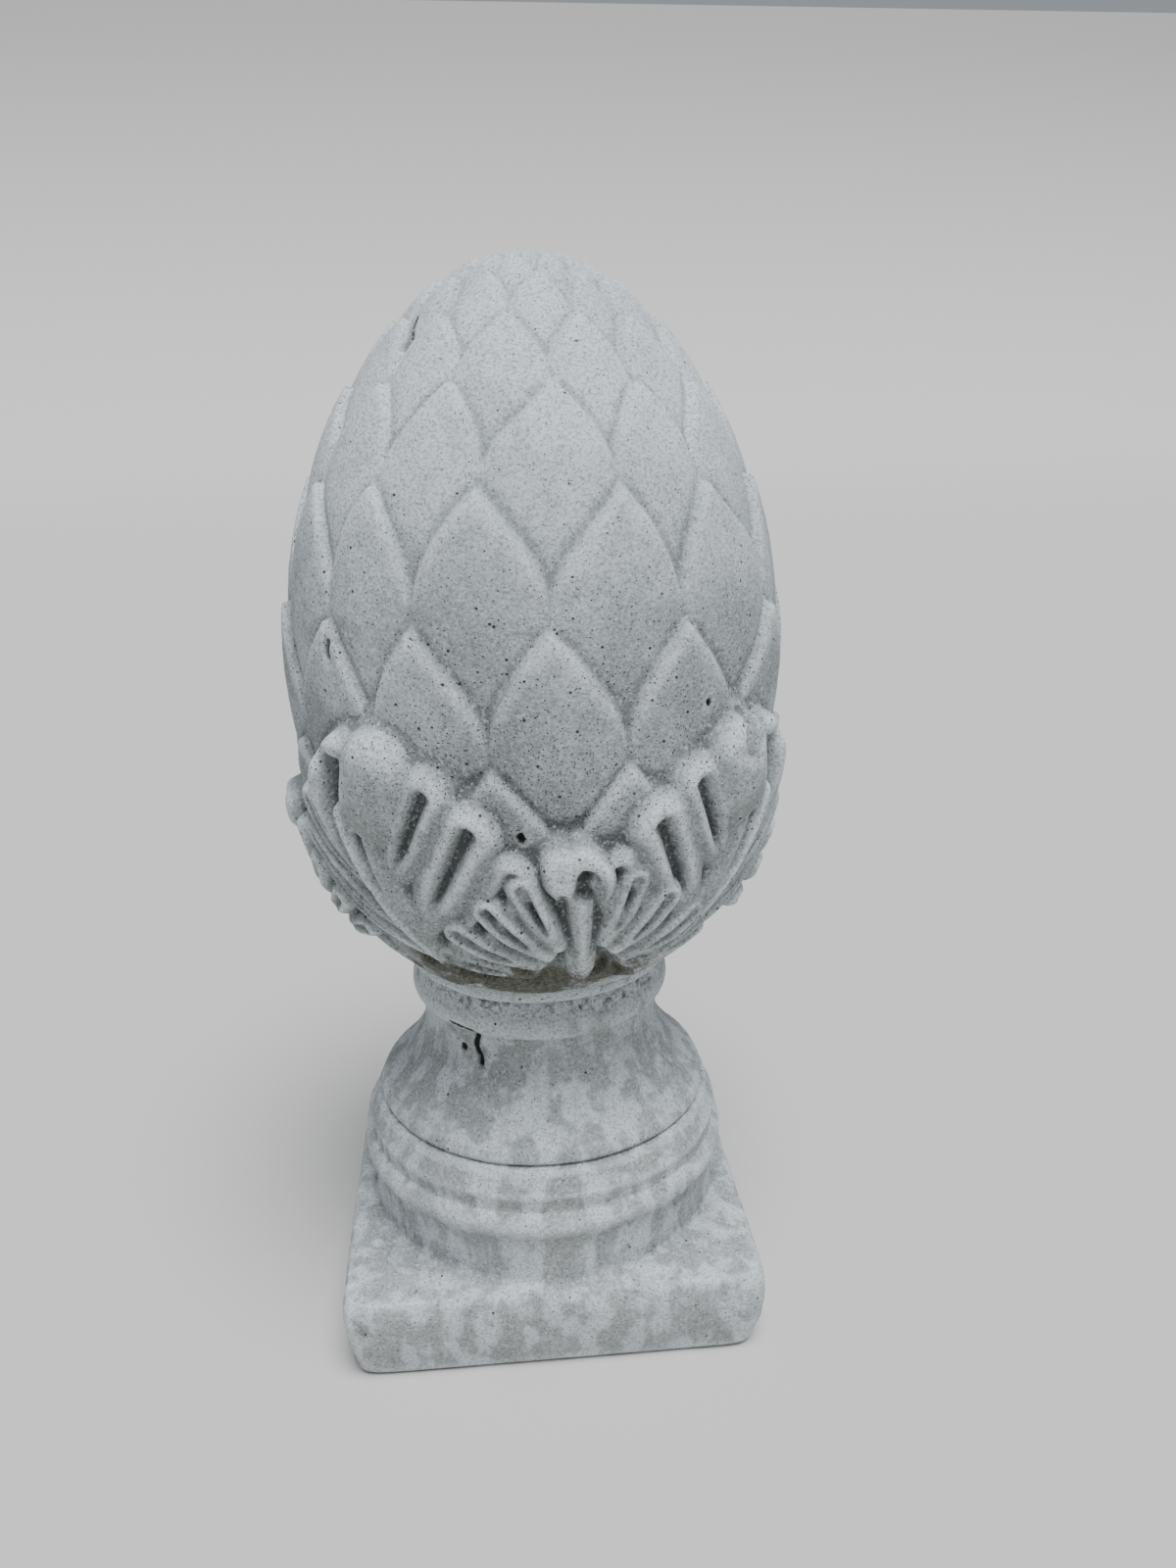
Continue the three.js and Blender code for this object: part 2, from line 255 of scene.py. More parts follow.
def turned_outline():
    """The outline of the turned body as radius and height, from the underside to the apex."""
    points = [(0.0, 0.0)]

    def straight(end, step=1.2):
        start = points[-1]
        middle = ((start[0] + end[0]) / 2, (start[1] + end[1]) / 2)
        points.extend(curve(start, middle, end, step))

    def bent(bend, end, step=0.8):
        points.extend(curve(points[-1], bend, end, step))

    side_top = plinth_top - 1.0
    straight((underside_half - plinth_arris, 0.0), 12.0)
    bent((underside_half, 0.0), (underside_half + 0.4, plinth_arris))
    bent((plinth_half - 0.2, 0.35 * plinth_top), (plinth_half, 0.68 * plinth_top), 1.1)
    bent((plinth_half, side_top - 0.1), (plinth_half - plinth_round, side_top), 0.7)
    straight((foot_radius, plinth_top), 0.5)
    bent((foot_radius - 0.4, band_level - 9.0), (foot_radius + 0.7, band_level - 4.0))
    bent((band_radius + 0.5, band_level - 2.0), (band_radius - 0.1, band_level + 0.8))
    bent((band_radius - 0.8, groove_level - 1.0), (band_radius - 2.5, groove_level), 0.6)
    bent((band_radius - 2.3, groove_level + 2.0), (band_radius - 1.8, band_top + 0.6), 0.6)
    bent((band_radius - 3.2, band_top + 2.4), (shoulder_radius + 1.8, shoulder_top - 3.6))
    bent((shoulder_radius, shoulder_top - 3.2), (shoulder_radius - 1.0, shoulder_top - 2.6), 0.5)
    bent((shoulder_radius + 1.9, shoulder_top - 2.2), (shoulder_radius - 0.5, shoulder_top + 1.6), 0.5)
    bent((waist_radius + 5.4, shoulder_top + 8.0), (waist_radius + 1.2, waist_level - 4.0))
    bent((waist_radius - 0.4, waist_level), (waist_radius + 0.6, collar_base - 1.6))
    bent((collar_radius + 1.0, collar_base), (collar_radius + 0.1, pitted_base - 1.4), 0.6)
    bent((collar_radius - 0.4, pitted_base - 0.4), (collar_radius - 0.6, pitted_base + 0.8), 0.6)
    straight((collar_radius - 0.9, pitted_top), 0.6)
    bent((collar_radius + 0.9, pitted_top + 0.4), (collar_radius + 1.0, cone_base + 0.8), 0.5)
    bent((collar_radius + 0.8, calyx_base - 0.6), (float(egg(calyx_base)), calyx_base), 0.5)
    level = points[-1][1]
    while level < apex - 0.02:
        run = fine_row if level < fine_rows_top else coarse_row
        level += run / math.hypot(1.0, float(egg_slope(level, 0.01)))
        points.append((float(egg(level)), level))
    points[-1] = (0.0, apex)
    return points


# Form of the scales

def row_table():
    """Heights on the cone and the number of scale rows above the first row of tips there."""
    climb = math.radians(scale_pitch) / row_parts
    table = [(first_tip, 0.0)]
    for way in (-1, 1):
        level = first_tip
        row = 0.0
        while cone_base + 1.0 < level < apex - 0.02:
            level += way * float(egg(level)) * climb / math.hypot(1.0, float(egg_slope(level)))
            row += way / row_parts
            table.append((level, row))
    table.sort()
    return np.array([t[0] for t in table]), np.array([t[1] for t in table])


def even_angle(angle, rows):
    """The angle on an even lattice of scales for a place on the uneven one."""
    shift = np.zeros(angle.shape)
    share = np.full(angle.shape, 0.25)
    for row, place, stray in stray_tips:
        near = bump(around(angle - place - stray), stray_reach) * bump(rows - row, stray_rows)
        shift += near * stray
        share += near
    return angle - shift / share * 1.15


def scale_surface(below_tip, across):
    """One scale: proud at its tip, sinking under the row below, domed across."""
    swell = np.minimum(1.0, 0.25 + below_tip * 1.3) * (1.0 - 0.85 * smooth_step(0.9, 1.6, below_tip))
    dome = scale_dome * (0.3 - 0.55 * across ** 2.4) * swell
    return scale_step * (0.46 - 0.6 * below_tip) + dome


def scale_relief(angle, rows, radius):
    """How far the scales stand off the egg."""
    angle = even_angle(angle, rows)
    angle = angle + 0.8 * np.sin(np.radians(3 * angle) + 1.9 * rows)
    above = np.ceil(rows)
    below_tip = above - rows
    turns = (angle - scale_phase) / scale_pitch - 0.5 * (1 - above % 2)
    across = 2 * np.abs(turns - np.round(turns))
    turn = 0.5 * np.pi * np.clip(below_tip / notch_share, 0.0, 1.0)
    half = np.sin(turn)
    lean = 0.25 * np.pi / notch_share * np.cos(turn)
    inside = (half - across) * 0.5 * math.radians(scale_pitch) * radius / np.hypot(1.0, lean)
    own = scale_surface(below_tip, across)
    upper = scale_surface(below_tip + 1.0, 1.0 - across)
    relief = upper + (own - upper) * smooth_step(-1.0, 0.5, inside)
    return relief - 0.3 * bump(inside + 1.6, 1.2)


# Form of the leaves

class Lobe:
    """A finger of a leaf, on a bent line from its root to its rounded end.

    Places are an angle from the leaf's rib in degrees and a height. Widths are halves of it.
    Pairs of widths and heights are for root and end."""

    def __init__(self, root, end, width, height, slot=0.0, bend=(0.6, 0.42)):
        self.root = root
        self.end = end
        self.width = width
        self.height = height
        self.slot = slot
        self.bend = bend

    def mirrored(self):
        root = (-self.root[0], self.root[1])
        end = (-self.end[0], self.end[1])
        return Lobe(root, end, self.width, self.height, self.slot, self.bend)

    def line(self, count=12):
        middle = [self.root[k] + (self.end[k] - self.root[k]) * self.bend[k] for k in (0, 1)]
        t = np.linspace(0.0, 1.0, count)
        weights = curve_weights(t)
        return [weights[0] * self.root[k] + weights[1] * middle[k] + weights[2] * self.end[k]
                for k in (0, 1)]


def both_sides(lobes):
    """The lobes of one half of a leaf, and the same mirrored for the other half."""
    return lobes + [lobe.mirrored() for lobe in lobes]


# The blades of a leaf are its stem, the pillow of its curled tip and the rim that arches over the eye.
# A cut runs from one place to another, with two half widths and two depths.
big_leaf = {
    "foot": 117.0,
    "lobes": [
        Lobe((4.4, 143.5), (22.8, 167.6), (3.6, 7.0), (4.0, 5.6), 4.6),
        Lobe((4.6, 133.0), (30.4, 159.8), (3.4, 7.2), (4.6, 6.0), 4.8),
        Lobe((2.6, 123.5), (36.0, 149.4), (2.6, 5.6), (4.4, 5.4), 3.8),
        Lobe((-2.0, 139.0), (-12.0, 160.0), (2.4, 4.6), (3.4, 5.4), 3.0),
        Lobe((-2.0, 130.0), (-16.5, 151.0), (2.2, 4.8), (3.6, 5.8), 3.2),
        Lobe((-2.0, 123.0), (-19.5, 141.0), (2.0, 4.2), (3.4, 5.2), 2.6),
    ],
    "blades": [
        Lobe((0.0, 117.0), (3.4, 165.0), (2.6, 8.2), (3.2, 6.2)),
        Lobe((5.4, 149.0), (12.2, 172.0), (0.8, 9.8), (2.4, 7.6), 0.0, (0.45, 0.5)),
        Lobe((-4.0, 146.0), (4.5, 177.0), (1.6, 3.6), (3.2, 6.6), 0.0, (-0.9, 0.6)),
    ],
    "cuts": [
        ((1.2, 171.4), (0.2, 165.4), (3.4, 2.9), (8.0, 5.6)),
        ((-1.6, 163.0), (-1.7, 138.0), (1.6, 0.8), (2.4, 1.0)),
        ((4.6, 156.0), (2.8, 143.0), (1.1, 0.7), (1.8, 0.7)),
    ],
    "rib": ((1.6, 165.0), 1.0, 0.9),
}
small_leaf = {
    "foot": 119.0,
    "lobes": both_sides([
        Lobe((5.6, 130.0), (12.0, 146.6), (2.8, 4.5), (4.8, 6.3), 4.4),
        Lobe((8.4, 127.5), (20.0, 140.8), (2.6, 4.5), (5.0, 6.8), 4.6),
        Lobe((11.4, 124.2), (28.0, 134.0), (2.4, 4.3), (4.6, 6.6), 4.0),
        Lobe((13.0, 120.5), (33.2, 126.0), (2.2, 3.8), (3.8, 5.4), 3.0),
    ]),
    "blades": [
        Lobe((0.0, 120.0), (0.2, 146.0), (3.2, 5.0), (4.6, 4.6)),
        Lobe((-2.6, 141.0), (-3.2, 151.0), (1.6, 5.4), (3.4, 7.4)),
        Lobe((4.6, 140.0), (0.6, 153.6), (1.8, 3.2), (3.6, 6.8), 0.0, (-0.8, 0.7)),
    ],
    "cuts": [
        ((1.4, 148.4), (0.8, 145.4), (2.4, 2.6), (5.4, 3.8)),
        ((4.2, 146.0), (2.6, 127.0), (1.0, 0.8), (2.0, 0.8)),
        ((-3.8, 145.0), (-2.4, 127.0), (1.0, 0.8), (2.0, 0.8)),
    ],
    "rib": ((0.2, 146.0), 1.0, 0.7),
}

# Leaves as kind, angle of the tip, side to which the leaf turns, and lean of the foot to that side
leaf_places = [
    (big_leaf, 54.9, -1, 32.0), (big_leaf, 131.0, 1, 20.0), (big_leaf, 232.0, -1, 20.0),
    (big_leaf, 311.0, 1, 26.0),
    (small_leaf, 4.7, 1, 3.0), (small_leaf, 95.0, 1, 3.0), (small_leaf, 182.0, 1, 2.0),
    (small_leaf, 275.0, -1, 3.0),
]
lean_top = 178.0
lean_foot = 117.0
leaf_top = 190.0
leaf_reach = 62.0
sunk = -9.0


class Skin:
    """The cone's skin laid flat round a leaf: millimetres across from its rib and up its face."""

    def __init__(self, place, side, lean):
        self.place = place
        self.side = side
        self.lean = lean
        self.levels = np.linspace(cone_base - 1.0, apex - 1.0, 600)
        step = np.gradient(self.levels)
        slope = np.gradient(egg(self.levels), self.levels)
        self.climb = np.cumsum(np.hypot(1.0, slope) * step)

    def flat(self, beside_rib, level):
        """Flat coordinates of a place given by its angle from the rib and its height."""
        return np.radians(beside_rib) * egg(level), np.interp(level, self.levels, self.climb)

    def flat_from_angle(self, angle, level):
        fall = np.clip((lean_top - level) / (lean_top - lean_foot), 0.0, 1.2)
        beside = self.side * around(angle - self.place)
        return self.flat(beside - self.lean * fall ** 2.2, level)


def distance_to_line(x, y, line_x, line_y):
    """The distance of points from a bent line, and how far along it the nearest place is."""
    best = np.full(x.shape, 1e9)
    along = np.zeros(x.shape)
    lengths = np.hypot(np.diff(line_x), np.diff(line_y))
    total = lengths.sum()
    gone = 0.0
    for i, length in enumerate(lengths):
        dx, dy = line_x[i + 1] - line_x[i], line_y[i + 1] - line_y[i]
        t = np.clip(((x - line_x[i]) * dx + (y - line_y[i]) * dy) / length ** 2, 0.0, 1.0)
        distance = np.hypot(x - line_x[i] - t * dx, y - line_y[i] - t * dy)
        nearer = distance < best
        best = np.where(nearer, distance, best)
        along = np.where(nearer, (gone + t * length) / total, along)
        gone += length
    return best, along


def back(distance, half_width, height):
    """The cross-section of a lobe: a round back with steep sides, and deep below outside it."""
    q = distance / half_width
    inside = height * np.clip(1.0 - q ** 2, 0.0, 1.0) ** 0.42
    return np.where(q < 1.0, inside, -7.0 * (q - 1.0))


def between(pair, share):
    return pair[0] + (pair[1] - pair[0]) * share


def leaf_relief(kind, skin, angle, level):
    """How far one leaf stands off the egg; far below the surface where there is no leaf."""
    x, y = skin.flat_from_angle(angle, level)
    heights = []
    webs = []
    for lobe in kind["lobes"] + kind["blades"]:
        line_x, line_y = skin.flat(*lobe.line())
        distance, along = distance_to_line(x, y, line_x, line_y)
        grown = smooth_step(-0.2, 0.7, along)
        half = between(lobe.width, grown)
        height = between(lobe.height, grown)
        top = back(distance, half, height)
        top -= lobe.slot * bump(distance, half * (0.1 + 0.13 * along)) * smooth_step(0.2, 0.5, along)
        heights.append(top)
        webs.append(back(distance, half + 1.6, 0.3 * height))
    surface = smooth_max(heights + [np.max(webs, axis=0)], 2.6)
    rib_end, rib_half, rib_height = kind["rib"]
    line = skin.flat(np.array([0.0, rib_end[0]]), np.array([kind["foot"], rib_end[1]]))
    distance, along = distance_to_line(x, y, *line)
    surface += rib_height * bump(distance, rib_half)
    for start, end, halves, depths in kind["cuts"]:
        line = skin.flat(np.array([start[0], end[0]]), np.array([start[1], end[1]]))
        distance, along = distance_to_line(x, y, *line)
        depth = between(depths, along)
        surface -= depth * np.exp(-(distance / between(halves, along)) ** 3)
    return np.maximum(surface, sunk)


def calyx_relief(angle, level):
    """The leaves together: the small ones lie over the big ones."""
    surface = np.full(angle.shape, sunk)
    near = (level > cone_base + 4.0) & (level < leaf_top)
    for kind, place, side, lean in leaf_places:
        beside = np.abs(around(angle - place - 0.4 * side * lean))
        chosen = near & (beside < leaf_reach)
        own = leaf_relief(kind, Skin(place, side, lean), angle[chosen], level[chosen])
        surface[chosen] = np.maximum(surface[chosen], own)
    return surface


# Holes, slits and chips as start and end, each an angle and a height, half width and depth, and
# the tip that is broken off the right leaf
wounds = [
    ((-32.3, 90.0), (-34.6, 85.4), 0.65, 2.2), ((-34.6, 85.4), (-31.4, 80.0), 0.65, 2.0),
    ((-31.0, 84.8), (-30.6, 83.8), 1.6, 0.6), ((-45.0, 91.6), (-34.0, 90.6), 0.7, 1.4),
    ((-42.4, 83.6), (-42.0, 83.4), 0.9, 1.3), ((-56.2, 267.9), (-51.6, 262.7), 0.9, 1.7),
    ((-48.9, 199.2), (-48.7, 195.9), 1.2, 0.8), ((-5.6, 157.8), (-5.4, 157.2), 0.8, 1.8),
    ((35.1, 185.3), (35.2, 184.9), 0.8, 1.6), ((-50.0, 224.8), (-48.7, 220.7), 0.5, 0.5),
]
broken_tip = ((44.6, 178.5), (43.4, 172.5), 3.2, 2.0)


# The casting

def spun_body(outline):
    """Spins the outline a quarter round, mirrors it twice and closes it at both poles."""
    mesh = bmesh.new()
    verts = [mesh.verts.new((radius, 0.0, level)) for radius, level in outline]
    edges = [mesh.edges.new(pair) for pair in zip(verts, verts[1:])]
    bmesh.ops.spin(mesh, geom=verts + edges, cent=(0, 0, 0), axis=(0, 0, 1), dvec=(0, 0, 0),
                   angle=0.5 * math.pi, steps=columns // 4, use_merge=False, use_duplicate=False)
    for axis in ("X", "Y"):
        geometry = mesh.verts[:] + mesh.edges[:] + mesh.faces[:]
        bmesh.ops.mirror(mesh, geom=geometry, axis=axis, merge_dist=1e-3)
    bmesh.ops.remove_doubles(mesh, verts=mesh.verts, dist=1e-3)
    bmesh.ops.recalc_face_normals(mesh, faces=mesh.faces)
    data = bpy.data.meshes.new("finial_casting")
    mesh.to_mesh(data)
    mesh.free()
    return data


def shape_plinth(x, y, z):
    """Pushes the rings of the plinth out to rounded squares."""
    reach = np.hypot(x, y) + 1e-9
    cosine, sine = np.abs(x) / reach, np.abs(y) / reach
    square = np.maximum(cosine ** plinth_power + sine ** plinth_power, 1e-6) ** (-1.0 / plinth_power)
    edge = plinth_half - plinth_round
    ledge = np.clip((reach - foot_radius) / (edge - foot_radius), 0.0, 1.0)
    share = np.where(z < plinth_top - 0.999, 1.0, ledge)
    out = 1.0 + (square - 1.0) * share
    return x * out, y * out + plinth_offset * share


def held_in(x):
    """Eases what reaches far out on the cone so that it stays inside the cone's limit."""
    room = cone_limit - cone_held_from
    beyond = np.maximum(np.abs(x) - cone_held_from, 0.0)
    return np.sign(x) * (np.minimum(np.abs(x), cone_held_from) + room * np.tanh(beyond / room))


def shape_cone(x, y, z):
    """Raises scales and leaves on the cone, square to its skin."""
    angle = angle_from_front(x, y)
    levels, rows = row_table()
    row = np.interp(z - 1.5 * smooth_step(204.0, 232.0, z), levels, rows) - 0.03
    radius = np.hypot(x, y)
    scales = scale_relief(angle, row, radius)
    scales *= smooth_step(0.0, 12.0, radius) * smooth_step(cone_base + 2.0, cone_base + 14.0, z)
    leaves = calyx_relief(angle, z)
    relief = smooth_max([scales, leaves], 3.2)
    slope = egg_slope(z)
    length = np.hypot(1.0, slope)
    out, up = 1.0 / length, -slope / length
    reach = radius + relief * out
    turn = np.radians(angle)
    right = reach * np.sin(turn) + cone_offset * smooth_step(cone_base - 4.0, cone_base + 20.0, z)
    level = z + relief * up
    eased = crown_level + crown_room * np.tanh((level - crown_level) / crown_room)
    level = np.where(level > crown_level, eased, level)
    backward = -reach * np.cos(turn)
    return held_in(right), held_in(backward), level


def wound_depth(places, wounds):
    """How deep holes, slits and chips reach into the casting at each place."""
    x, y, z = places.T
    angle = angle_from_front(x, y)
    depth = np.zeros(len(places))
    ragged = 1.0 + 0.35 * grain(places, ragged_seed, 2.4, 2)
    for start, end, half, reach in wounds:
        arc = np.radians(angle - start[0]) * np.hypot(x, y)
        run_arc = np.radians(end[0] - start[0]) * np.hypot(x, y)
        run_up = end[1] - start[1]
        share = np.clip((arc * run_arc + (z - start[1]) * run_up) / (run_arc ** 2 + run_up ** 2), 0.0, 1.0)
        apart = np.hypot(arc - share * run_arc, z - start[1] - share * run_up)
        depth = np.maximum(depth, reach * np.exp(-(apart / (half * ragged)) ** 4))
    return depth


def plinth_wear(places):
    """How much is worn off the plinth's edges and corners."""
    x, y, z = places.T
    across = np.abs(x) / plinth_half
    along = np.abs(y - plinth_offset) / plinth_half
    corner = smooth_step(0.82, 1.0, np.minimum(across, along))
    edge = smooth_step(0.88, 1.0, np.maximum(across, along)) * smooth_step(19.0, 25.0, z)
    worn = smooth_step(-0.2, 1.2, grain(places, wear_seed, 7.0, 3))
    front_left = corner * (x < 0) * (y < 0) * smooth_step(0.0, 0.8, grain(places, corner_seed, 4.0, 3))
    return (z < plinth_top + 0.1) * (1.1 * (corner + edge) * worn + 1.6 * front_left)


def roughened(places, normals):
    """The unevenness of a hand-made casting: waves, pits, worn edges and damage."""
    z = places[:, 2]
    shift = 0.24 * grain(places, wave_seed, 17.0, 2) + 0.06 * grain(places, ripple_seed, 3.2, 2)
    band = smooth_step(pitted_base, pitted_base + 1.0, z)
    band *= 1.0 - smooth_step(pitted_top, pitted_top + 0.8, z)
    shift -= band * 0.9 * smooth_step(0.2, 0.9, grain(places, band_seed, 1.5, 2))
    calyx = smooth_step(104.0, 112.0, z) * (1.0 - smooth_step(160.0, 190.0, z))
    pits = smooth_step(0.8, 1.15, grain(places, pit_seed, 1.6, 2))
    shift -= 0.5 * pits * calyx
    shift -= plinth_wear(places) + wound_depth(places, wounds) + wound_depth(places, [broken_tip])
    return places + normals * (shift * smooth_step(0.3, 4.0, z))[:, None]


def relaxed(places, pairs, rounds):
    """The places after each has moved half way to the middle of its neighbours, again and again."""
    count = len(places)
    first, second = pairs.T
    neighbours = np.bincount(pairs.ravel(), minlength=count)
    for _ in range(rounds):
        moved = [
            np.bincount(first, places[second, k], count) + np.bincount(second, places[first, k], count)
            for k in range(3)]
        places = 0.5 * places + 0.5 * np.stack(moved, axis=1) / neighbours[:, None]
    return places


def write_attribute(data, name, values):
    data.attributes.new(name, "FLOAT", "POINT").data.foreach_set("value", values.astype(np.float32))


def stain(places):
    """Where damp has let moss and brown dirt settle: under the front leaf and round the collar."""
    x, y, z = places.T
    angle = angle_from_front(x, y)
    front = 1.3 * bump(angle + 10.0, 34.0) * bump(z - 115.0, 6.0)
    ring = 0.35 * bump(z - 108.0, 2.4)
    return np.clip((front + ring) * (0.85 + 0.6 * grain(places, damp_seed, 6.0, 3)), 0.0, 1.0)


def cast_finial():
    """The whole casting as one object."""
    data = spun_body(turned_outline())
    count = len(data.vertices)
    flat = np.empty(count * 3)
    data.vertices.foreach_get("co", flat)
    places = flat.reshape(count, 3)
    x, y, z = places.T.copy()
    plinth = z <= plinth_top
    x[plinth], y[plinth] = shape_plinth(x[plinth], y[plinth], z[plinth])
    cone = z > cone_base + 0.5
    x[cone], y[cone], z[cone] = shape_cone(x[cone], y[cone], z[cone])
    places = np.stack([x, y, z], axis=1)
    data.vertices.foreach_set("co", places.ravel())
    data.update()
    normals = np.empty(count * 3)
    data.vertex_normals.foreach_get("vector", normals)
    normals = normals.reshape(count, 3)
    places = roughened(places, normals)
    pairs = np.empty(len(data.edges) * 2, dtype=np.int32)
    data.edges.foreach_get("vertices", pairs)
    pairs = pairs.reshape(-1, 2)
    fine = relaxed(places, pairs, ridge_rounds)
    broad = relaxed(fine, pairs, hollow_rounds)
    # Sharp ridges and broad hollows of the mesh, which the material uses for partly painted highlights and
    # painted shade
    write_attribute(data, "ridge", np.sum((places - fine) * normals, axis=1))
    write_attribute(data, "hollow", np.sum((broad - fine) * normals, axis=1))
    write_attribute(data, "stain", stain(places))
    write_attribute(data, "wound", wound_depth(places, wounds))
    data.vertices.foreach_set("co", (places * mm).ravel())
    data.update()
    data.shade_smooth()
    piece = bpy.data.objects.new("finial_casting", data)
    bpy.context.scene.collection.objects.link(piece)
    thin = piece.modifiers.new("thin", "DECIMATE")
    triangles = sum(len(p.vertices) - 2 for p in data.polygons)
    thin.ratio = min(1.0, triangle_budget / triangles)
    return piece


# The concrete

class Signal:
    """A value, colour or place in a material's nodes that can be calculated with."""

    def __init__(self, socket):
        self.socket = socket

    def make(self, kind, settings, inputs, output=0):
        """Another node, set up and then fed with values or signals."""
        tree = self.socket.id_data
        made = tree.nodes.new(kind)
        for name, value in settings.items():
            setattr(made, name, value)
        for name, value in inputs.items():
            if isinstance(value, Signal):
                tree.links.new(value.socket, made.inputs[name])
            else:
                made.inputs[name].default_value = value
        return Signal(made.outputs[output])

    def maths(self, operation, first, second):
        return self.make("ShaderNodeMath", {"operation": operation}, {0: first, 1: second})

    def __add__(self, other):
        return self.maths("ADD", self, other)

    def __sub__(self, other):
        return self.maths("SUBTRACT", self, other)

    def __rsub__(self, other):
        return self.maths("SUBTRACT", other, self)

    def __mul__(self, other):
        return self.maths("MULTIPLY", self, other)

    __radd__ = __add__
    __rmul__ = __mul__

    def between(self, low_edge, high_edge):
        """0 below one edge, 1 above the other, smooth in between."""
        inputs = {"Value": self, "From Min": low_edge, "From Max": high_edge}
        return self.make("ShaderNodeMapRange", {"interpolation_type": "SMOOTHSTEP"}, inputs)

    def band(self, start, end):
        """1 on a band between a pair of edges where it starts and a pair where it ends."""
        return self.between(*start) * (1.0 - self.between(*end))

    def blend(self, first, second):
        """The first colour where this signal is 0, the second where it is 1."""
        ends = [end if isinstance(end, Signal) else opaque(end) for end in (first, second)]
        return self.make("ShaderNodeMix", {"data_type": "RGBA"}, {0: self, 6: ends[0], 7: ends[1]}, 2)

    def stretched(self, factors):
        return self.make("ShaderNodeVectorMath", {"operation": "MULTIPLY"}, {0: self, 1: factors})

    def noise(self, size, detail=3.0, roughness=0.55):
        """Noise from 0 to 1 over a place in millimetres."""
        inputs = {"Vector": self, "Scale": 1.0 / size, "Detail": detail, "Roughness": roughness}
        return self.make("ShaderNodeTexNoise", {}, inputs, "Fac")

    def pores(self, size, radius, share):
        """Round air pores of a radius, in a share of the cells of a size over a place."""
        inputs = {"Vector": self, "Scale": 1.0 / size}
        apart = self.make("ShaderNodeTexVoronoi", {}, inputs, "Distance")
        shade = Signal(apart.socket.node.outputs["Color"])
        chance = shade.make("ShaderNodeSeparateColor", {}, {"Color": shade})
        chosen = (chance + share).between(0.98, 1.02)
        return (1.0 - apart.between(0.6 * radius / size, radius / size)) * chosen


def opaque(colour):
    return (*colour, 1.0)


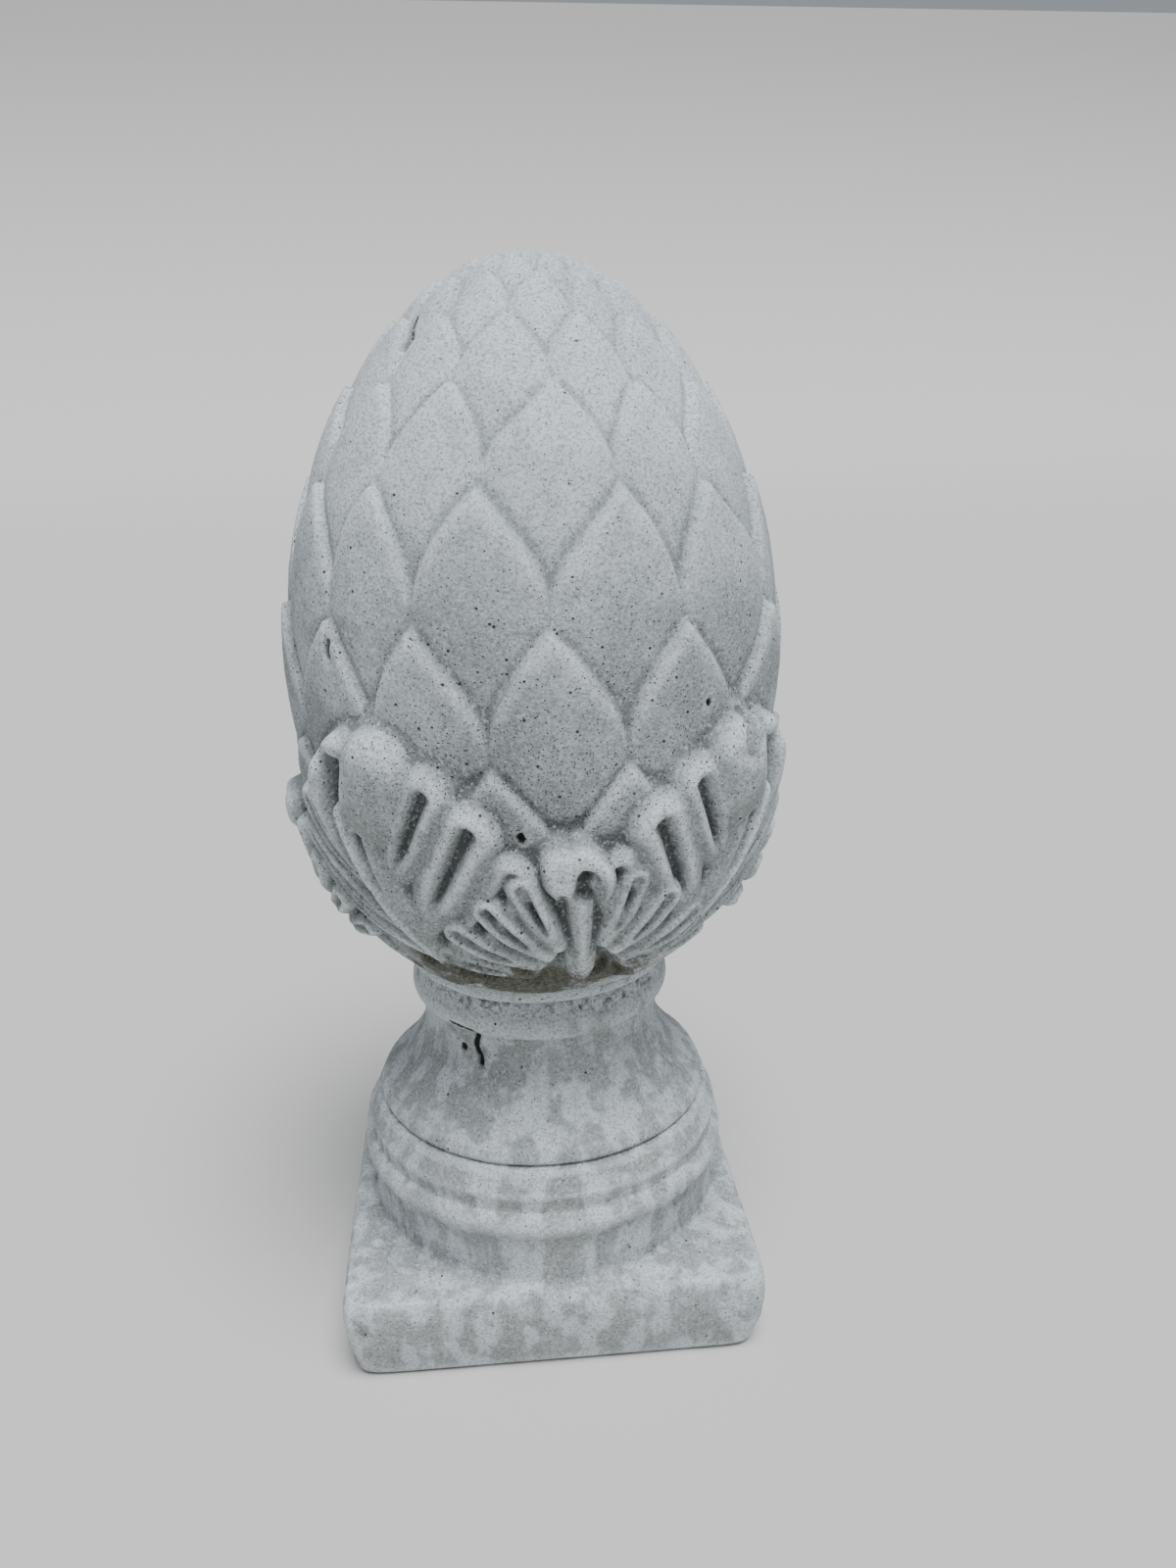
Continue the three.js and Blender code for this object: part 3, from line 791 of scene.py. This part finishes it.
def concrete_material():
    """Grey concrete with lime bloom, sandy grain, air pores and holes painted dark as shade inside them,
    rims and crests lighter partly from lime bloom and partly as painted highlight, and painted shade in
    the hollows.
    """
    material = bpy.data.materials.new("concrete")
    material.use_nodes = True
    tree = material.node_tree
    shader = tree.nodes["Principled BSDF"]
    source = Signal(tree.nodes.new("ShaderNodeTexCoord").outputs["Object"])
    place = source.stretched((1.0 / mm, 1.0 / mm, 1.0 / mm))
    height = place.make("ShaderNodeSeparateXYZ", {}, {"Vector": place}, "Z")
    forward = 0.0 - place.make("ShaderNodeSeparateXYZ", {}, {"Vector": place}, "Y")

    def attribute(name):
        return place.make("ShaderNodeAttribute", {"attribute_name": name}, {}, "Fac")

    ridge = attribute("ridge").between(0.015, 0.1)
    hollow = attribute("hollow").between(0.05, 0.75)
    cloud = place.noise(26.0, 5.0, 0.6)
    blotch = place.noise(7.0, 4.0, 0.6)
    sand = place.noise(0.7, 2.0, 0.7)
    streak = place.stretched((1.0, 1.0, 0.3)).noise(6.0, 4.0, 0.6)

    below_collar = 1.0 - height.between(calyx_base - 2.0, calyx_base + 2.0)
    collar = height.between(waist_level, collar_base + 3.0)
    low_cone = height.band((140.0, 175.0), (176.0, 235.0))
    calyx_band = height.band((106.0, 116.0), (150.0, 178.0))
    pitted = height.band((pitted_base - 0.6, pitted_base + 0.6), (pitted_top, pitted_top + 1.2))
    above_waist = height.between(84.0, 108.0)
    upper_cone = height.between(160.0, 190.0)

    base = blotch.between(0.3, 0.7).blend(ground, pale_ground)
    bloom = cloud.between(0.42, 0.66) * 0.55 + height.between(200.0, 260.0) * 0.7
    base = bloom.blend(base, bloom_colour)
    base = (below_collar * 0.7).blend(base, damp_grey)
    lime = (streak + blotch * 0.6 + sand * 0.3 + collar * 0.12).between(0.89, 1.02) * below_collar
    base = (lime * 0.9).blend(base, lime_colour)
    base = (low_cone * (0.2 + (1.0 - cloud.between(0.4, 0.6)) * 0.45)).blend(base, low_cone_grey)
    # Darker grey in patches over the calyx band
    base = (calyx_band * 0.6 * (blotch + 0.4)).blend(base, calyx_dark_grey)
    # Lighter along sharp convex edges: partly lime bloom, partly painted highlight
    base = (ridge * 0.55 * (blotch + sand - 0.45)).blend(base, ridge_bloom_and_highlight)
    # Lighter over broad convex parts: partly lime bloom, partly painted highlight
    crest = (0.0 - attribute("hollow")).between(0.15, 1.1)
    crest = crest * (0.5 + above_waist * 0.5)
    base = (crest * blotch.between(0.2, 0.5)).blend(base, crest_bloom_and_highlight)
    # Painted shade in the hollows, stronger above the waist and weaker on the upper cone
    hollow = hollow * (0.2 + above_waist * 0.65 - upper_cone * 0.3)
    base = hollow.blend(base, hollow_shade_colour)
    base = (sand.between(0.4, 0.72) * 0.6).blend(base, dark_sand)
    base = (place.noise(1.0, 2.0, 0.7).between(0.5, 0.75) * 0.5).blend(base, pale_sand)
    specks = place.noise(1.2, 3.0, 0.7)
    dirt = (attribute("stain") + specks - 0.5).between(0.1, 0.5)
    moss = specks.between(0.4, 0.65).blend(moss_dark, moss_light)
    base = (dirt * 0.9).blend(base, moss)
    base = (specks.between(0.5, 0.64) * pitted * 0.6).blend(base, band_colour)

    share = 0.1 + low_cone * 0.8 + calyx_band * 0.25
    large = place.pores(3.4, 0.42, share * 0.8)
    small = place.pores(1.3, 0.22, share)
    front_scale = forward.between(50.0, 64.0) * height.band((150.0, 162.0), (170.0, 190.0))
    tiny = place.pores(0.8, 0.2, 0.12 + front_scale * 0.6)
    pore = large.maths("MAXIMUM", large, small + tiny * 0.7)
    pore = pore.maths("MAXIMUM", pore, attribute("wound").between(0.35, 0.9))
    # Pores, holes, slits and chips painted near black: painted shade inside them
    base = (pore * 0.9).blend(base, pore_shade_colour)

    relief = sand * 0.26 + blotch * 0.5 + place.noise(2.4, 3.0, 0.6) * 0.25 - pore * 0.5
    bumps = {"Height": relief, "Distance": mm, "Strength": 1.0}
    normal = relief.make("ShaderNodeBump", {}, bumps, "Normal")
    tree.links.new(base.socket, shader.inputs["Base Color"])
    tree.links.new(normal.socket, shader.inputs["Normal"])
    shader.inputs["Roughness"].default_value = 0.92
    shader.inputs["Specular IOR Level"].default_value = 0.25
    return material


# The scene

def make_floor():
    """A wide pale floor that sweeps up far behind the finial."""
    reach, turn_radius = 3.0, 1.6
    mesh = bmesh.new()
    bmesh.ops.create_grid(mesh, x_segments=1, y_segments=1, size=reach)
    far = [edge for edge in mesh.edges if all(vert.co.y > reach - 0.01 for vert in edge.verts)]
    bmesh.ops.spin(mesh, geom=far, cent=(0, reach, turn_radius), axis=(1, 0, 0), dvec=(0, 0, 0),
                   angle=0.5 * math.pi, steps=24)
    bmesh.ops.recalc_face_normals(mesh, faces=mesh.faces)
    data = bpy.data.meshes.new("floor")
    mesh.to_mesh(data)
    mesh.free()
    data.shade_smooth()
    floor = bpy.data.objects.new("floor", data)
    bpy.context.scene.collection.objects.link(floor)
    material = bpy.data.materials.new("floor")
    material.use_nodes = True
    shader = material.node_tree.nodes["Principled BSDF"]
    shader.inputs["Base Color"].default_value = opaque((0.6, 0.585, 0.56))
    shader.inputs["Roughness"].default_value = 0.85
    data.materials.append(material)


def make_camera():
    """The photograph's view: a phone held above the bench, looking down at the finial."""
    camera = bpy.data.cameras.new("camera")
    camera.sensor_width = camera_sensor
    camera.lens = camera_lens
    camera.clip_start = 0.01
    holder = bpy.data.objects.new("camera", camera)
    bpy.context.scene.collection.objects.link(holder)
    yaw, pitch, roll = (math.radians(angle) for angle in camera_turn)
    forward = Vector((math.sin(yaw) * math.cos(pitch), math.cos(yaw) * math.cos(pitch), -math.sin(pitch)))
    right = Vector((math.cos(yaw), -math.sin(yaw), 0.0))
    up = right.cross(forward)
    turned_right = right * math.cos(roll) + up * math.sin(roll)
    turned_up = up * math.cos(roll) - right * math.sin(roll)
    turn = Matrix((turned_right, turned_up, -forward)).transposed().to_4x4()
    place = Vector(camera_place) * mm
    holder.matrix_world = Matrix.Translation(place) @ turn
    bpy.context.scene.camera = holder


def make_light(name, place, spread, strength, tint):
    """A distant soft light from the side of a place, spread over an angle of the sky."""
    lamp = bpy.data.lights.new(name, "SUN")
    lamp.angle = math.radians(spread)
    lamp.energy = strength
    lamp.color = tint
    holder = bpy.data.objects.new(name, lamp)
    bpy.context.scene.collection.objects.link(holder)
    holder.rotation_euler = (-Vector(place)).to_track_quat("-Z", "Y").to_euler()


def make_world():
    world = bpy.data.worlds.new("studio")
    world.use_nodes = True
    background = world.node_tree.nodes["Background"]
    background.inputs["Color"].default_value = opaque((0.86, 0.93, 1.0))
    background.inputs["Strength"].default_value = 0.34
    bpy.context.scene.world = world


finial = cast_finial()
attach(finial, "root")
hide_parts(node)
finial.data.materials.append(concrete_material())
make_floor()
make_camera()
make_light("sky", (0.14, -0.44, 1.3), 32.0, 4.3, (0.95, 0.98, 1.0))
make_world()
